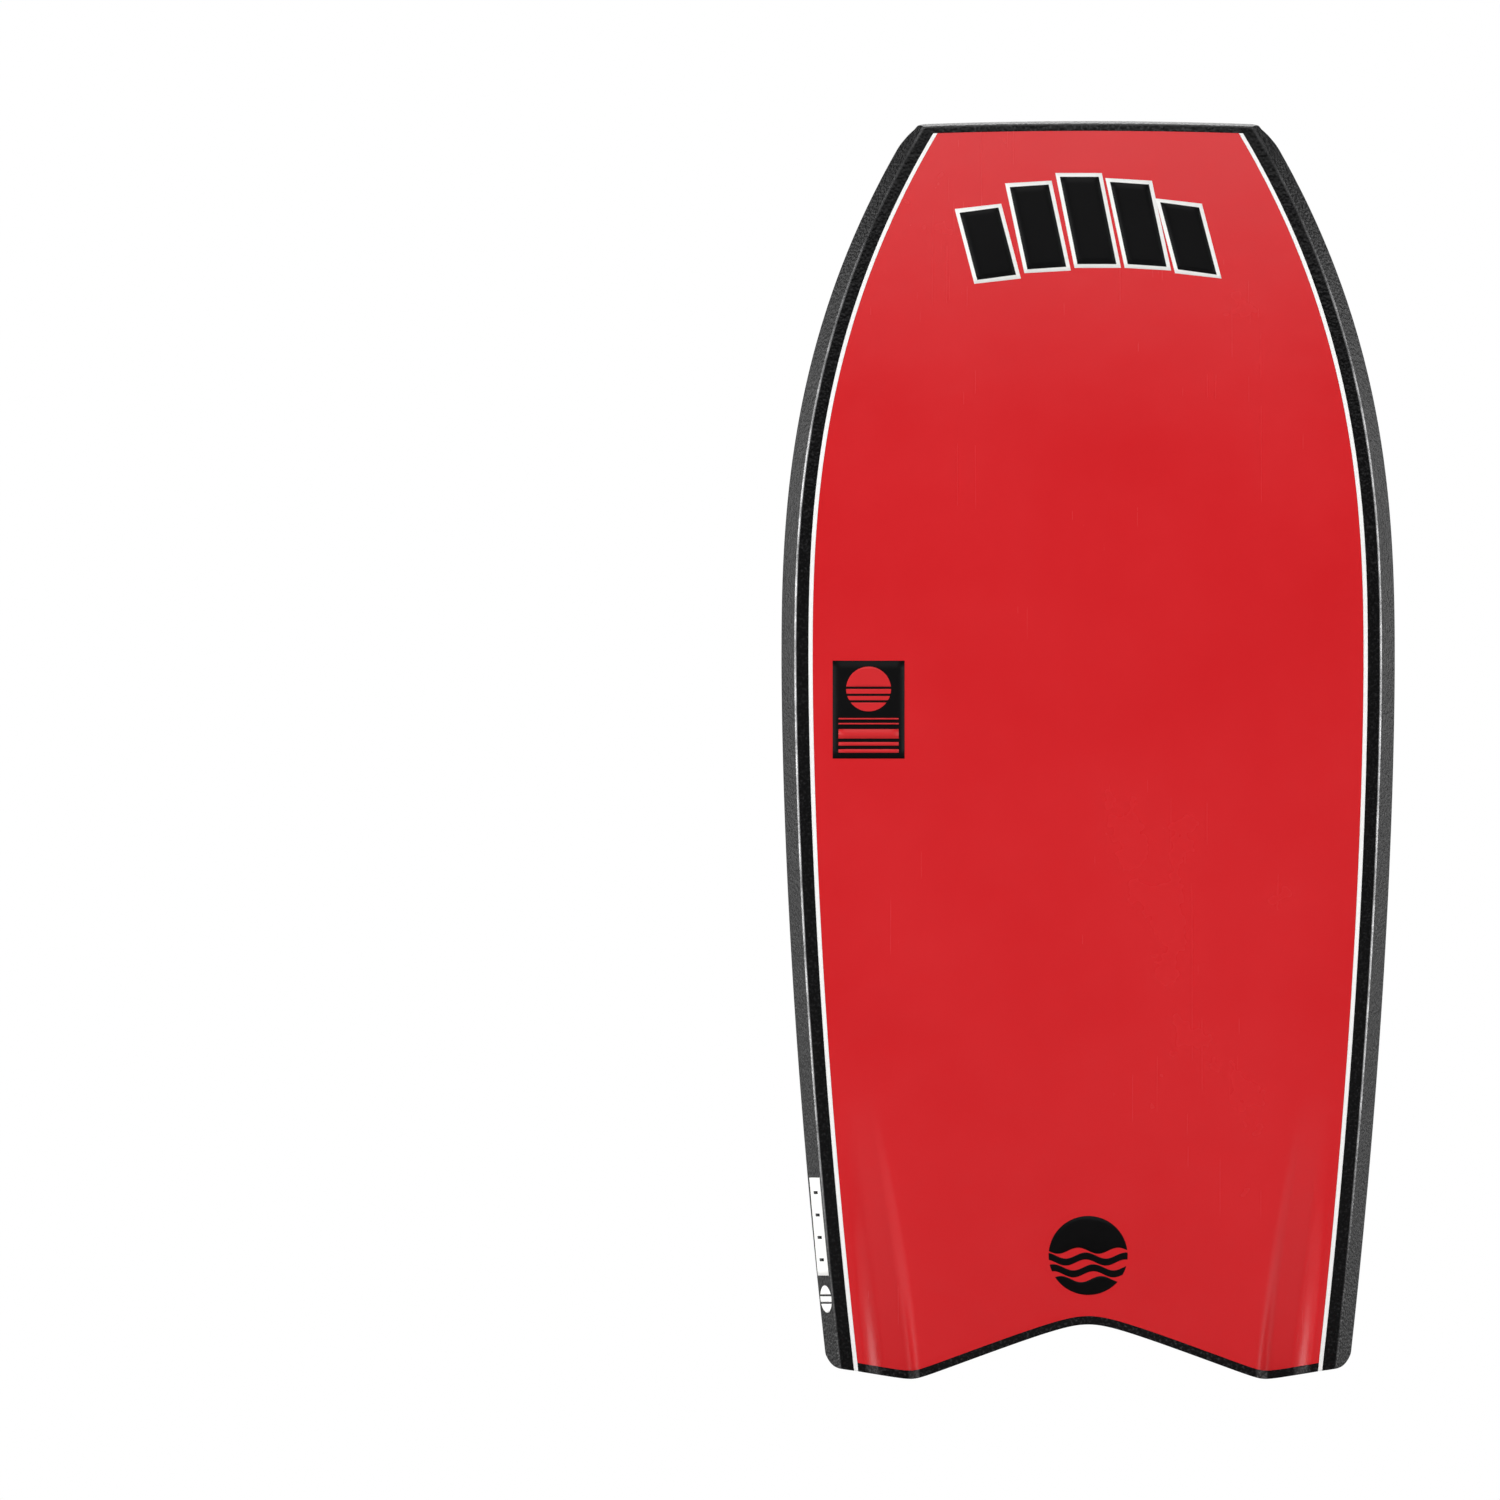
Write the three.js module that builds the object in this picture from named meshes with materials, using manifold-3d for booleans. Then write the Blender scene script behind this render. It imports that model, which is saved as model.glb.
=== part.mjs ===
// A 42 inch bodyboard with a bat tail, stood on its tail: the nose is up (+Z), the deck faces -Y,
// the slick faces +Y and X runs across. The origin is the middle of the slick. Millimetres.
import * as THREE from 'three';
import { mergeVertices } from 'three/addons/utils/BufferGeometryUtils.js';
import Module from 'manifold-3d';

// Outline. Stations are measured up from the two tail tips.
const boardLength = 1067;
const boardWidth = 521;
const tailWidth = 442;
const noseWidth = 296;
const widestStation = 610;
const tailFlare = 1.75;
const noseFlare = 2.51;
const notchDepth = 48;
const tipSpacing = 296;
const cornerRise = 13;
const edgeBlend = 4;
const notchRounding = 22;
const tailCornerRadius = 8;
const noseCornerRadius = 12;
const noseArc = 3;

// Thickness, from slick to deck, and the rise of the nose towards the deck.
const midThickness = 55;
const tailThickness = 42;
const noseThickness = 30;
const evenFrom = 380;
const evenTo = 640;
const rockerStart = 650;
const noseRocker = 48;

// End faces: how far the deck edge lies behind the slick edge.
const tailBevelCentre = 22;
const tailBevelTip = 27;
const noseBevelCentre = 22;
const noseBevelCorner = 32;
const noseLip = 3;
const lipShare = 0.3;

// Rails. The widest line of the edge lies at this share of the thickness.
const railShare = 0.6;
const railInset = 12;
const railWidth = 11.5;
const chineInset = 12.5;
const chineStrip = 6;
const pinlineWidth = 3.4;

// Skins and end strips.
const deckSkin = 4;
const slickSkin = 1.5;
const meshLayer = 0.6;
const noseStrip = 6;
const tailStrip = 7.5;
const tailLap = 5;
const lapLength = 34;
const mitreTop = 190;
const mitreFoot = 215;
const toeDepth = 3;

// The two channels in the slick.
const channelLength = 250;
const channelDepth = 9;
const channelStart = 141;
const channelSpread = 40;
const channelCurve = 1.3;
const channelMargin = 4;
const channelWall = 0.25;
const channelFloor = 0.6;

// The stringer tube and its end pieces, on the centreline.
const stringerOuter = 12.7;
const stringerInner = 10.3;
const stringerDepth = 25;
const stringerCover = 4;
const capFlange = 2;
const capSpigot = 12;
const plugLength = 24;
const plugSeat = 1;

const gap = 0.3;
const halfWidth = boardWidth / 2;
const tailZone = 130;

const wasm = await Module();
wasm.setup();

const lerp = THREE.MathUtils.lerp;
const clamp = THREE.MathUtils.clamp;
const smooth = (value) => THREE.MathUtils.smoothstep(value, 0, 1);

// Half width at a station: a power curve on each side of the widest point.
function outline(z) {
  if (z < widestStation) {
    const share = (widestStation - Math.max(z, 0)) / widestStation;
    return halfWidth - (halfWidth - tailWidth / 2) * share ** tailFlare;
  }
  const share = (z - widestStation) / (boardLength - widestStation);
  return halfWidth - (halfWidth - noseWidth / 2) * share ** noseFlare;
}

function thickness(z) {
  const back = clamp((evenFrom - z) / evenFrom, 0, 1);
  const front = clamp((z - evenTo) / (boardLength - evenTo), 0, 1);
  return midThickness - (midThickness - tailThickness) * back ** 1.6
    - (midThickness - noseThickness) * front ** 1.8;
}

function rocker(z) {
  const share = Math.max(0, (z - rockerStart) / (boardLength - rockerStart));
  return noseRocker * share ** 2;
}

// Distance that a rounded corner falls back at x, when it starts a radius inside the half width.
function cornerFall(x, half, radius) {
  const past = clamp(Math.abs(x) - (half - radius), 0, radius);
  return radius - Math.sqrt(radius ** 2 - past ** 2);
}

// The bat tail: a rounded notch falling to the tips, then a gentle rise to the corners. The two
// edges are blended at the tips, which takes a little off the notch's depth.
function tailCurve(x) {
  const tip = tipSpacing / 2;
  const run = (span) => Math.hypot(span, notchRounding) - notchRounding;
  const inner = notchDepth * (1 - run(x) / run(tip));
  const outer = cornerRise * (Math.abs(x) - tip) / (tailWidth / 2 - tip);
  return (inner + outer + Math.hypot(inner - outer, edgeBlend)) / 2;
}

function tailEdge(x) {
  return tailCurve(x) - tailCurve(tipSpacing / 2) + cornerFall(x, tailWidth / 2, tailCornerRadius);
}

function noseEdge(x) {
  const half = noseWidth / 2;
  return boardLength - noseArc * (x / half) ** 2 - cornerFall(x, half, noseCornerRadius);
}

// How far the board's edge lies inside its widest line at a share of the thickness.
function edgeInset(share) {
  return share < railShare
    ? railInset * (1 - share / railShare)
    : chineInset * (share - railShare) / (1 - railShare);
}

// The same for the foam core, which leaves room for the rails and the pinline.
function coreInset(share) {
  const below = railWidth + pinlineWidth + 2 * gap;
  if (share < railShare) return edgeInset(share) + below;
  const up = (share - railShare) / (1 - railShare);
  return lerp(below, chineInset + chineStrip + gap, up);
}

function channel(x, z) {
  const fade = smooth(1 - Math.max(z, 0) / channelLength);
  const inner = channelStart + channelSpread * clamp(z / channelLength, 0, 1) ** channelCurve;
  const outer = outline(z) - edgeInset(0) - railWidth - pinlineWidth - channelMargin;
  const across = (Math.abs(x) - inner) / (outer - inner);
  const wall = smooth(across / channelWall);
  const rim = smooth((1 - across) / (1 - channelFloor));
  return channelDepth * fade * wall * rim;
}

// Height of the tail face and of the nose face at x, at a share of the thickness.
function tailFace(x, share) {
  const bevel = lerp(tailBevelCentre, tailBevelTip, clamp(2 * Math.abs(x) / tipSpacing, 0, 1));
  return tailEdge(x) + bevel * share;
}

function noseFace(x, share) {
  const bevel = lerp(noseBevelCentre, noseBevelCorner, (2 * x / noseWidth) ** 2);
  const back = share < lipShare
    ? noseLip * (lipShare - share) / lipShare
    : bevel * (share - lipShare) / (1 - lipShare);
  return noseEdge(x) - back;
}

// A row of points is a share of the thickness, and the depth that it is sunk past it.
function depthAt(row, x, z) {
  return lerp(channel(x, z), thickness(z), row.share) + (row.sink ?? 0);
}

// Height of an end face at a row. A sunk row meets the face a little past its share.
function endHeight(face, row, x) {
  const z = face(x, row.share);
  return face(x, row.share + (row.sink ?? 0) / (thickness(z) - channel(x, z)));
}

// A closed solid whose grid is laid over the board: across from left to right, down from the
// slick row to the deck row, and along from the tail face to the nose face. A solid with a
// length is only that long, measured back from the nose face.
function boardSolid({ rows, left, right, columns, stations, ...ends }) {
  const { tailInset = 0, noseInset = 0, upTo, length } = ends;
  const geometry = new THREE.BoxGeometry(2, 2, 2, columns, rows.length - 1, stations);
  const position = geometry.attributes.position;
  for (let i = 0; i < position.count; i++) {
    const across = (1 + Math.sin(position.getX(i) * Math.PI / 2)) / 2;
    const row = rows[Math.round((1 - position.getY(i)) / 2 * (rows.length - 1))];
    const along = (1 + Math.sin(position.getZ(i) * Math.PI / 2)) / 2;
    const sideAt = (z) => lerp(left(z, row), right(z, row), across);
    const tailX = sideAt(0);
    const noseX = sideAt(boardLength);
    const to = upTo ?? endHeight(noseFace, row, noseX) - noseInset;
    const from = length ? to - length : endHeight(tailFace, row, tailX) + tailInset;
    const z = lerp(from, to, along);
    const x = sideAt(z);
    position.setXYZ(i, x, -rocker(z) - depthAt(row, x, z), z);
  }
  nestDiagonals(geometry);
  return geometry;
}

// Cuts the squares of opposite faces along the same diagonal, so that one layer nests in the next
// where the board's curves twist them. A square is the corners a, b, c, d.
function nestDiagonals(geometry) {
  const index = geometry.index;
  for (const face of [geometry.groups[1], geometry.groups[3], geometry.groups[5]]) {
    for (let i = face.start; i < face.start + face.count; i += 6) {
      const [a, b, d, c] = [0, 1, 2, 4].map((k) => index.getX(i + k));
      [a, b, c, a, c, d].forEach((corner, k) => index.setX(i + k, corner));
    }
  }
}

// A solid that is the same on both sides of the centreline.
function fullWidth(reach, options) {
  return boardSolid({
    ...options,
    left: (z, row) => -reach(z, row),
    right: reach,
  });
}

// A solid on one side: side is +1 for +X and -1 for -X.
function oneSide(side, inner, outer, options) {
  return boardSolid({
    ...options,
    left: side > 0 ? inner : (z, row) => -outer(z, row),
    right: side > 0 ? outer : (z, row) => -inner(z, row),
  });
}

function solidOf(geometry) {
  const bare = geometry.clone();
  bare.deleteAttribute('normal');
  bare.deleteAttribute('uv');
  const merged = mergeVertices(bare, 1e-4);
  return new wasm.Manifold(new wasm.Mesh({
    numProp: 3,
    vertProperties: new Float32Array(merged.attributes.position.array),
    triVerts: new Uint32Array(merged.index.array),
  }));
}

function geometryOf(solid) {
  const mesh = solid.getMesh();
  const geometry = new THREE.BufferGeometry();
  geometry.setAttribute('position', new THREE.BufferAttribute(mesh.vertProperties, 3));
  geometry.setIndex(new THREE.BufferAttribute(mesh.triVerts, 1));
  geometry.computeVertexNormals();
  return geometry;
}

const coreReach = (z, row) => outline(z) - coreInset(row.share);
const edgeReach = (z, row) => outline(z) - edgeInset(row.share);

// The plan of the tail bumper: it laps over the deck and its ends are cut on a mitre. It is
// drawn to the middle of the white pinline and then grown or shrunk.
function lapPrism(grow) {
  const steps = 32;
  const run = mitreFoot - mitreTop;
  const top = (x) => tailEdge(x) + lapLength + grow;
  const mitreRise = tailEdge(mitreTop) + lapLength - tailEdge(mitreFoot);
  const slide = grow * Math.hypot(run, mitreRise) / mitreRise;
  const corner = mitreTop + slide - grow * run / mitreRise;
  const below = tailZone;
  const foot = corner + (top(corner) + below) * run / mitreRise;
  const shape = new THREE.Shape();
  shape.moveTo(-foot, -below);
  shape.lineTo(foot, -below);
  for (let i = steps; i >= 0; i--) {
    const x = lerp(-corner, corner, i / steps);
    shape.lineTo(x, top(x));
  }
  shape.closePath();
  const prism = new THREE.ExtrudeGeometry(shape, { depth: 4 * midThickness, bevelEnabled: false });
  prism.rotateX(Math.PI / 2);
  prism.translate(0, 2 * midThickness, 0);
  return solidOf(prism);
}

// Everything in the tail zone, and what lies deeper than the bumper.
function tailBlock() {
  const rows = [{ share: 0 }, { share: lipShare }, { share: railShare }, { share: 1 }];
  return solidOf(fullWidth(edgeReach, { rows, columns: 44, stations: 5, upTo: tailZone }));
}

function tailInside(extra) {
  const rows = [{ share: 0, sink: -tailThickness }, { share: 0 }, { share: 1, sink: -tailLap - extra }];
  const reach = (z) => outline(z) + 2 * railWidth;
  const inset = tailStrip + extra;
  return solidOf(fullWidth(reach, { rows, columns: 44, stations: 5, tailInset: inset, upTo: tailZone + gap }));
}

// The corner zone where the rails and pinlines pass below the bumper to the tail edge.
function toeZone(extra) {
  const rows = [{ share: 0, sink: -tailThickness / 2 }, { share: 0, sink: toeDepth + extra }];
  const inner = (z) => outline(z) - railInset - railWidth - gap - pinlineWidth - extra;
  const outer = (z) => outline(z) + 2 * railWidth;
  const options = { rows, columns: 2, stations: 4, tailInset: -tailStrip, upTo: tailZone };
  const right = solidOf(oneSide(1, inner, outer, options));
  return right.add(solidOf(oneSide(-1, inner, outer, options)));
}

const halfPinline = pinlineWidth / 2;
const tailLayer = tailBlock().subtract(tailInside(0)).subtract(toeZone(gap));
const bumperPlan = lapPrism(-halfPinline - gap);
const tailCut = lapPrism(halfPinline + gap).subtract(tailInside(gap)).subtract(toeZone(0));

const foam = { roughness: 0.85, metalness: 0 };
const blackFoam = new THREE.MeshStandardMaterial({ color: '#141414', ...foam });
const whiteFoam = new THREE.MeshStandardMaterial({ color: '#f4f4f2', ...foam });
const coreFoam = new THREE.MeshStandardMaterial({ color: '#e9e6dc', ...foam });
const redSheet = new THREE.MeshStandardMaterial({ color: '#d3242a', roughness: 0.35, metalness: 0 });
const meshWeave = new THREE.MeshStandardMaterial({ color: '#c9ccd0', roughness: 0.7, metalness: 0 });
const composite = new THREE.MeshStandardMaterial({ color: '#26282b', roughness: 0.45, metalness: 0 });
const plastic = new THREE.MeshStandardMaterial({ color: '#3a3d40', roughness: 0.5, metalness: 0 });

const board = new THREE.Group();
board.position.z = -boardLength / 2;

function add(name, geometry, material) {
  const mesh = new THREE.Mesh(geometry, material);
  mesh.name = name;
  board.add(mesh);
  return mesh;
}

const across = { columns: 18, stations: 20 };
const beside = { columns: 4, stations: across.stations };

// The bore starts with its plug, just inside the tail bumper, then comes the rear cap and the tube.
// The tube stops where the rising nose would leave too little foam below it.
const plugFrom = tailFace(0, 1) + tailStrip + plugSeat;
const stringerFrom = plugFrom + plugLength + gap + capFlange + gap;
const layers = slickSkin + meshLayer + 2 * gap;
const freeRise = stringerDepth - stringerOuter / 2 - layers - stringerCover;
const stringerTo = rockerStart + (boardLength - rockerStart) * Math.sqrt(freeRise / noseRocker);

// A cylinder along the board, on the stringer's line, from one station to another.
function rod(radius, from, to) {
  const cylinder = new THREE.CylinderGeometry(radius, radius, to - from, 24);
  cylinder.rotateX(Math.PI / 2);
  cylinder.translate(0, -stringerDepth, (from + to) / 2);
  return cylinder;
}

function foamCore() {
  const rows = [
    { share: 0, sink: layers },
    { share: lipShare },
    { share: railShare },
    { share: 1, sink: -deckSkin - gap },
  ];
  const body = solidOf(fullWidth(coreReach, { rows, ...across, noseInset: noseStrip + gap }));
  const bore = solidOf(rod(stringerOuter / 2 + gap, -tailStrip, stringerTo + capFlange + gap));
  add('foam_core', geometryOf(body.subtract(tailCut).subtract(bore)), coreFoam);
}

function skins() {
  const noseInset = noseStrip + gap;
  const deckRows = [{ share: 1, sink: -deckSkin }, { share: 1 }];
  const deck = solidOf(fullWidth(coreReach, { rows: deckRows, ...across, noseInset }));
  add('deck_skin', geometryOf(deck.subtract(lapPrism(halfPinline + gap))), blackFoam);

  const slickRows = [{ share: 0 }, { share: 0, sink: slickSkin }];
  const slick = solidOf(fullWidth(coreReach, { rows: slickRows, ...across, noseInset }));
  add('slick_sheet', geometryOf(slick.subtract(tailCut)), redSheet);

  const meshTop = slickSkin + gap;
  const meshRows = [{ share: 0, sink: meshTop }, { share: 0, sink: meshTop + meshLayer }];
  const mesh = solidOf(fullWidth(coreReach, { rows: meshRows, ...across, noseInset }));
  add('slick_mesh', geometryOf(mesh.subtract(tailCut)), meshWeave);
}

function rails(side, label) {
  const lowerRows = [{ share: 0 }, { share: lipShare }, { share: railShare, sink: -gap / 2 }];
  const lowerInner = (z, row) => edgeReach(z, row) - railWidth;
  const lower = solidOf(oneSide(side, lowerInner, edgeReach, { rows: lowerRows, ...beside }));
  add(`lower_rail_${label}`, geometryOf(lower.subtract(tailCut)), blackFoam);

  const upperRows = [{ share: railShare, sink: gap / 2 }, { share: 1 }];
  const upperInner = (z, row) => coreReach(z, row) + gap;
  const upper = solidOf(oneSide(side, upperInner, edgeReach, { rows: upperRows, ...beside }));
  add(`upper_rail_${label}`, geometryOf(upper.subtract(tailCut)), blackFoam);

  const outer = (z, row) => lowerInner(z, row) - gap;
  const inner = (z, row) => outer(z, row) - pinlineWidth;
  const noseInset = noseStrip + gap;
  const line = oneSide(side, inner, outer, { rows: lowerRows, columns: 1, stations: across.stations, noseInset });
  add(`pinline_${label}`, geometryOf(solidOf(line).subtract(tailCut)), whiteFoam);
}

// The strip over the nose end, between the two lower rails. It covers the pinlines' ends.
function noseBumper() {
  const rows = [{ share: 0 }, { share: lipShare }, { share: railShare }, { share: 1 }];
  const reach = (z, row) => coreReach(z, row) + (row.share < railShare ? pinlineWidth + gap : 0);
  const strip = { rows, columns: across.columns, stations: 1, length: noseStrip };
  add('nose_bumper', fullWidth(reach, strip), blackFoam);
}

function tailPieces() {
  add('tail_bumper', geometryOf(tailLayer.intersect(bumperPlan)), blackFoam);
  const linePlan = lapPrism(halfPinline).subtract(lapPrism(-halfPinline));
  add('tail_pinline', geometryOf(tailLayer.intersect(linePlan)), whiteFoam);
}

// The tube is a turned ring, and each cap is a turned plug with a flange. Both are turned about
// the stringer's line.
function stringer() {
  const turned = (points) => {
    const profile = points.map(([radius, height]) => new THREE.Vector2(radius, height));
    const lathe = new THREE.LatheGeometry(profile, 24);
    lathe.rotateX(Math.PI / 2);
    lathe.translate(0, -stringerDepth, 0);
    return lathe;
  };
  const outer = stringerOuter / 2;
  const bore = stringerInner / 2;
  const from = stringerFrom;
  const to = stringerTo;
  add('stringer_tube', turned([[bore, from], [outer, from], [outer, to], [bore, to], [bore, from]]), composite);

  const fit = bore - gap;
  const rearFace = from - gap;
  const frontFace = to + gap;
  const rear = [[0, rearFace - capFlange], [outer, rearFace - capFlange], [outer, rearFace],
    [fit, rearFace], [fit, rearFace + capSpigot], [0, rearFace + capSpigot]];
  const front = [[0, frontFace - capSpigot], [fit, frontFace - capSpigot], [fit, frontFace],
    [outer, frontFace], [outer, frontFace + capFlange], [0, frontFace + capFlange]];
  add('stringer_cap_rear', turned(rear), plastic);
  add('stringer_cap_front', turned(front), plastic);

  add('bore_plug', rod(outer, plugFrom, plugFrom + plugLength), coreFoam);
}

foamCore();
skins();
rails(1, 'left');
rails(-1, 'right');
noseBumper();
tailPieces();
stringer();

export default board;
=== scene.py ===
import math
import bpy
import numpy as np
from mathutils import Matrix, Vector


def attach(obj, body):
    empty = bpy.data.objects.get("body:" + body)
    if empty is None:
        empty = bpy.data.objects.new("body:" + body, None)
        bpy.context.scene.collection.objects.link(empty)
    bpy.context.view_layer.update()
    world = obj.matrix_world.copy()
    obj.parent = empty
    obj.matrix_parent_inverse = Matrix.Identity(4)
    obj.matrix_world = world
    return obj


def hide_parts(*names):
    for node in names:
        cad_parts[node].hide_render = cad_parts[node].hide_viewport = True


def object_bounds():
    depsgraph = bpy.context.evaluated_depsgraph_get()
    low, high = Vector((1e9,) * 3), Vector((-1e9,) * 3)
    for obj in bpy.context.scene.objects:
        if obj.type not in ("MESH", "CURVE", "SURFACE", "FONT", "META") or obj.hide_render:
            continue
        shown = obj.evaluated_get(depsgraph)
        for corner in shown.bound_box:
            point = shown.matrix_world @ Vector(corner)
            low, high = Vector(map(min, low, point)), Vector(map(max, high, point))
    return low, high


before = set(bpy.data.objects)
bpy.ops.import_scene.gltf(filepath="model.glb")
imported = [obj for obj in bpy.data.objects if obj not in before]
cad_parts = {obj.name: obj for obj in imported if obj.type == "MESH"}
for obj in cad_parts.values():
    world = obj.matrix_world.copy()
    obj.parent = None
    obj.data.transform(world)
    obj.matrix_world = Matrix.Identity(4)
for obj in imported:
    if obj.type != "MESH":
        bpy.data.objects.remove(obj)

# The board stands nose up: the deck faces -Y, the slick faces +Y and X runs across.
# Sizes are in millimetres, and stations are measured up from the two tail tips.
cadLow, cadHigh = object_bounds()
cadSize = (cadHigh - cadLow) * 1000
outlineSizes = dict(
    length=cadHigh.z * 2000, halfWidth=cadSize.x / 2, tailHalf=221, noseHalf=148, widestAt=610,
    tailFlare=1.75, noseFlare=2.51, notchDepth=48, tipHalf=148, cornerRise=13, edgeBlend=4,
    notchRounding=22, tailCorner=8, noseCorner=12, noseArc=3,
)
thicknessSizes = dict(
    middle=55, tail=42, nose=30, evenFrom=380, evenTo=640, tailPower=1.6, nosePower=1.8,
    rockerFrom=650, rocker=48,
)
endSizes = dict(
    tailBevelCentre=22, tailBevelTip=27, noseBevelCentre=22, noseBevelCorner=32, noseLip=3,
    lipShare=0.3, railShare=0.6, bottomInset=12, chineInset=12.5, fullFrom=196, fullCorner=1.5,
)
layerSizes = dict(
    railWidth=11.5, chineStrip=6, pinline=3.4, deckSkin=4, slickSkin=1.5, mesh=0.6,
    noseStrip=6, tailStrip=7.5, tailLap=5, lapLength=34, mitreTop=190, mitreFoot=215, toe=3,
)
channelSizes = dict(
    length=250, depth=9, start=141, spread=40, curve=1.3, margin=4, wall=0.25, floor=0.6,
)
seam = 0.12  # width of a bonded seam between two foam pieces
tailZone = 130  # how far up the tail's own pieces reach


def smoothStep(value):
    value = np.clip(value, 0, 1)
    return value * value * (3 - 2 * value)


def mix(a, b, share):
    return a + (b - a) * share


# Half width at a station: a power curve below the widest point and another above it.
def outline(z):
    s = outlineSizes
    below = np.clip((s["widestAt"] - np.maximum(z, 0)) / s["widestAt"], 0, None) ** s["tailFlare"]
    above = np.clip((z - s["widestAt"]) / (s["length"] - s["widestAt"]), 0, None) ** s["noseFlare"]
    narrowed = (s["halfWidth"] - s["tailHalf"]) * below + (s["halfWidth"] - s["noseHalf"]) * above
    return s["halfWidth"] - narrowed


# Slick to deck: even in the middle, thinner by a power curve towards each end.
def thickness(z):
    s = thicknessSizes
    back = np.clip((s["evenFrom"] - z) / s["evenFrom"], 0, 1)
    front = np.clip((z - s["evenTo"]) / (outlineSizes["length"] - s["evenTo"]), 0, 1)
    thinner = (s["middle"] - s["tail"]) * back ** s["tailPower"]
    return s["middle"] - thinner - (s["middle"] - s["nose"]) * front ** s["nosePower"]


# The nose rises towards the deck as the square of the distance past the flat.
def rocker(z):
    s = thicknessSizes
    run = (z - s["rockerFrom"]) / (outlineSizes["length"] - s["rockerFrom"])
    return s["rocker"] * np.clip(run, 0, None) ** 2


# A rounded plan corner: a quarter circle that ends at the half width.
def cornerFall(x, half, radius):
    past = np.clip(np.abs(x) - (half - radius), 0, radius)
    return radius - np.sqrt(radius ** 2 - past ** 2)


# The bat tail: a rounded notch and an outer edge, two slopes blended by a hyperbola.
def tailCurve(x):
    s = outlineSizes
    run = np.hypot(x, s["notchRounding"]) - s["notchRounding"]
    full = math.hypot(s["tipHalf"], s["notchRounding"]) - s["notchRounding"]
    inner = s["notchDepth"] * (1 - run / full)
    outer = s["cornerRise"] * (np.abs(x) - s["tipHalf"]) / (s["tailHalf"] - s["tipHalf"])
    return (inner + outer + np.hypot(inner - outer, s["edgeBlend"])) / 2


def tailEdge(x):
    s = outlineSizes
    return tailCurve(x) - tailCurve(s["tipHalf"]) + cornerFall(x, s["tailHalf"], s["tailCorner"])


def noseEdge(x):
    s = outlineSizes
    arc = s["noseArc"] * (x / s["noseHalf"]) ** 2
    return s["length"] - arc - cornerFall(x, s["noseHalf"], s["noseCorner"])


# How far the edge lies inside the widest line, at a share of the thickness from slick to deck.
def edgeInset(share):
    s = endSizes
    below = s["bottomInset"] * (1 - share / s["railShare"])
    above = s["chineInset"] * (share - s["railShare"]) / (1 - s["railShare"])
    return np.where(share < s["railShare"], below, above)


# The same for what lies between the rails.
def coreInset(share):
    s = layerSizes
    below = s["railWidth"] + s["pinline"] + 2 * seam
    up = np.clip((share - endSizes["railShare"]) / (1 - endSizes["railShare"]), 0, 1)
    above = mix(below, endSizes["chineInset"] + s["chineStrip"] + seam, up)
    return np.where(share < endSizes["railShare"], edgeInset(share) + below, above)


# Depth of the two channels: a wall, a floor and a slower rim across, fading out up the board.
def channel(x, z):
    s = channelSizes
    fade = smoothStep(1 - np.maximum(z, 0) / s["length"])
    inner = s["start"] + s["spread"] * np.clip(z / s["length"], 0, 1) ** s["curve"]
    rim = endSizes["bottomInset"] + layerSizes["railWidth"] + layerSizes["pinline"] + s["margin"]
    across = (np.abs(x) - inner) / (outline(z) - rim - inner)
    walls = smoothStep(across / s["wall"]) * smoothStep((1 - across) / (1 - s["floor"]))
    return s["depth"] * fade * walls


# Station of the tail face and of the nose face at x, at a share of the thickness. The tail's bevel
# is straight, and starts late at the two outer corners, where the foam is left fuller.
def tailFace(x, share):
    s = endSizes
    side = np.abs(x)
    bevel = mix(s["tailBevelCentre"], s["tailBevelTip"], np.clip(side / outlineSizes["tipHalf"], 0, 1))
    fuller = smoothStep((side - s["fullFrom"]) / (outlineSizes["tailHalf"] - s["fullFrom"]))
    power = 1 + s["fullCorner"] * fuller
    within = np.clip(share, 0, 1)
    return tailEdge(x) + bevel * (within ** power + share - within)


def noseBevel(x):
    s = endSizes
    return mix(s["noseBevelCentre"], s["noseBevelCorner"], (x / outlineSizes["noseHalf"]) ** 2)


def noseFace(x, share):
    s = endSizes
    under = s["noseLip"] * (s["lipShare"] - share) / s["lipShare"]
    over = noseBevel(x) * (share - s["lipShare"]) / (1 - s["lipShare"])
    return noseEdge(x) - np.where(share < s["lipShare"], under, over)


# Pull of one rounded edge on the points near it, in a plane with axes p and q. The edge is at e,
# its two faces run off along a and b, and the round starts at the length t along each. A point at
# a length along a face moves to a quadratic curve through the three, less with its depth inside.
def edgePull(p, q, e, a, b, t, fade=3.0):
    a, b = [np.array([np.broadcast_to(c, p.shape) for c in v]) for v in (a, b)]
    a, b = a / np.hypot(*a), b / np.hypot(*b)
    dot = (a * b).sum(axis=0)
    sine = np.sqrt(np.maximum(1 - dot ** 2, 1e-6))
    offset = np.array([p - e[0], q - e[1]])
    fromA = (offset * (b - dot * a)).sum(axis=0) / sine
    fromB = (offset * (a - dot * b)).sum(axis=0) / sine
    along = np.clip((fromB - fromA) / sine, -t, t)
    tau = (t - along) / (2 * t)
    curve = a * t * (1 - tau) ** 2 + b * t * tau ** 2
    sharp = np.where(along > 0, a * along, -b * along)
    depth = np.clip(np.minimum(fromA, fromB) / (fade * t), 0, 1)
    return (curve - sharp) * (1 - smoothStep(depth))


# Lengths along each face at which an edge's round starts. The nose crest's fades sooner inside.
roundings = dict(
    slickCorner=2.7, widest=3.2, deckEdge=6.0, tailCrest=4.5, tailFoot=1.2, noseCrest=13,
    noseFade=1.5, noseLip=3.5, noseFoot=1.4,
)


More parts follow.
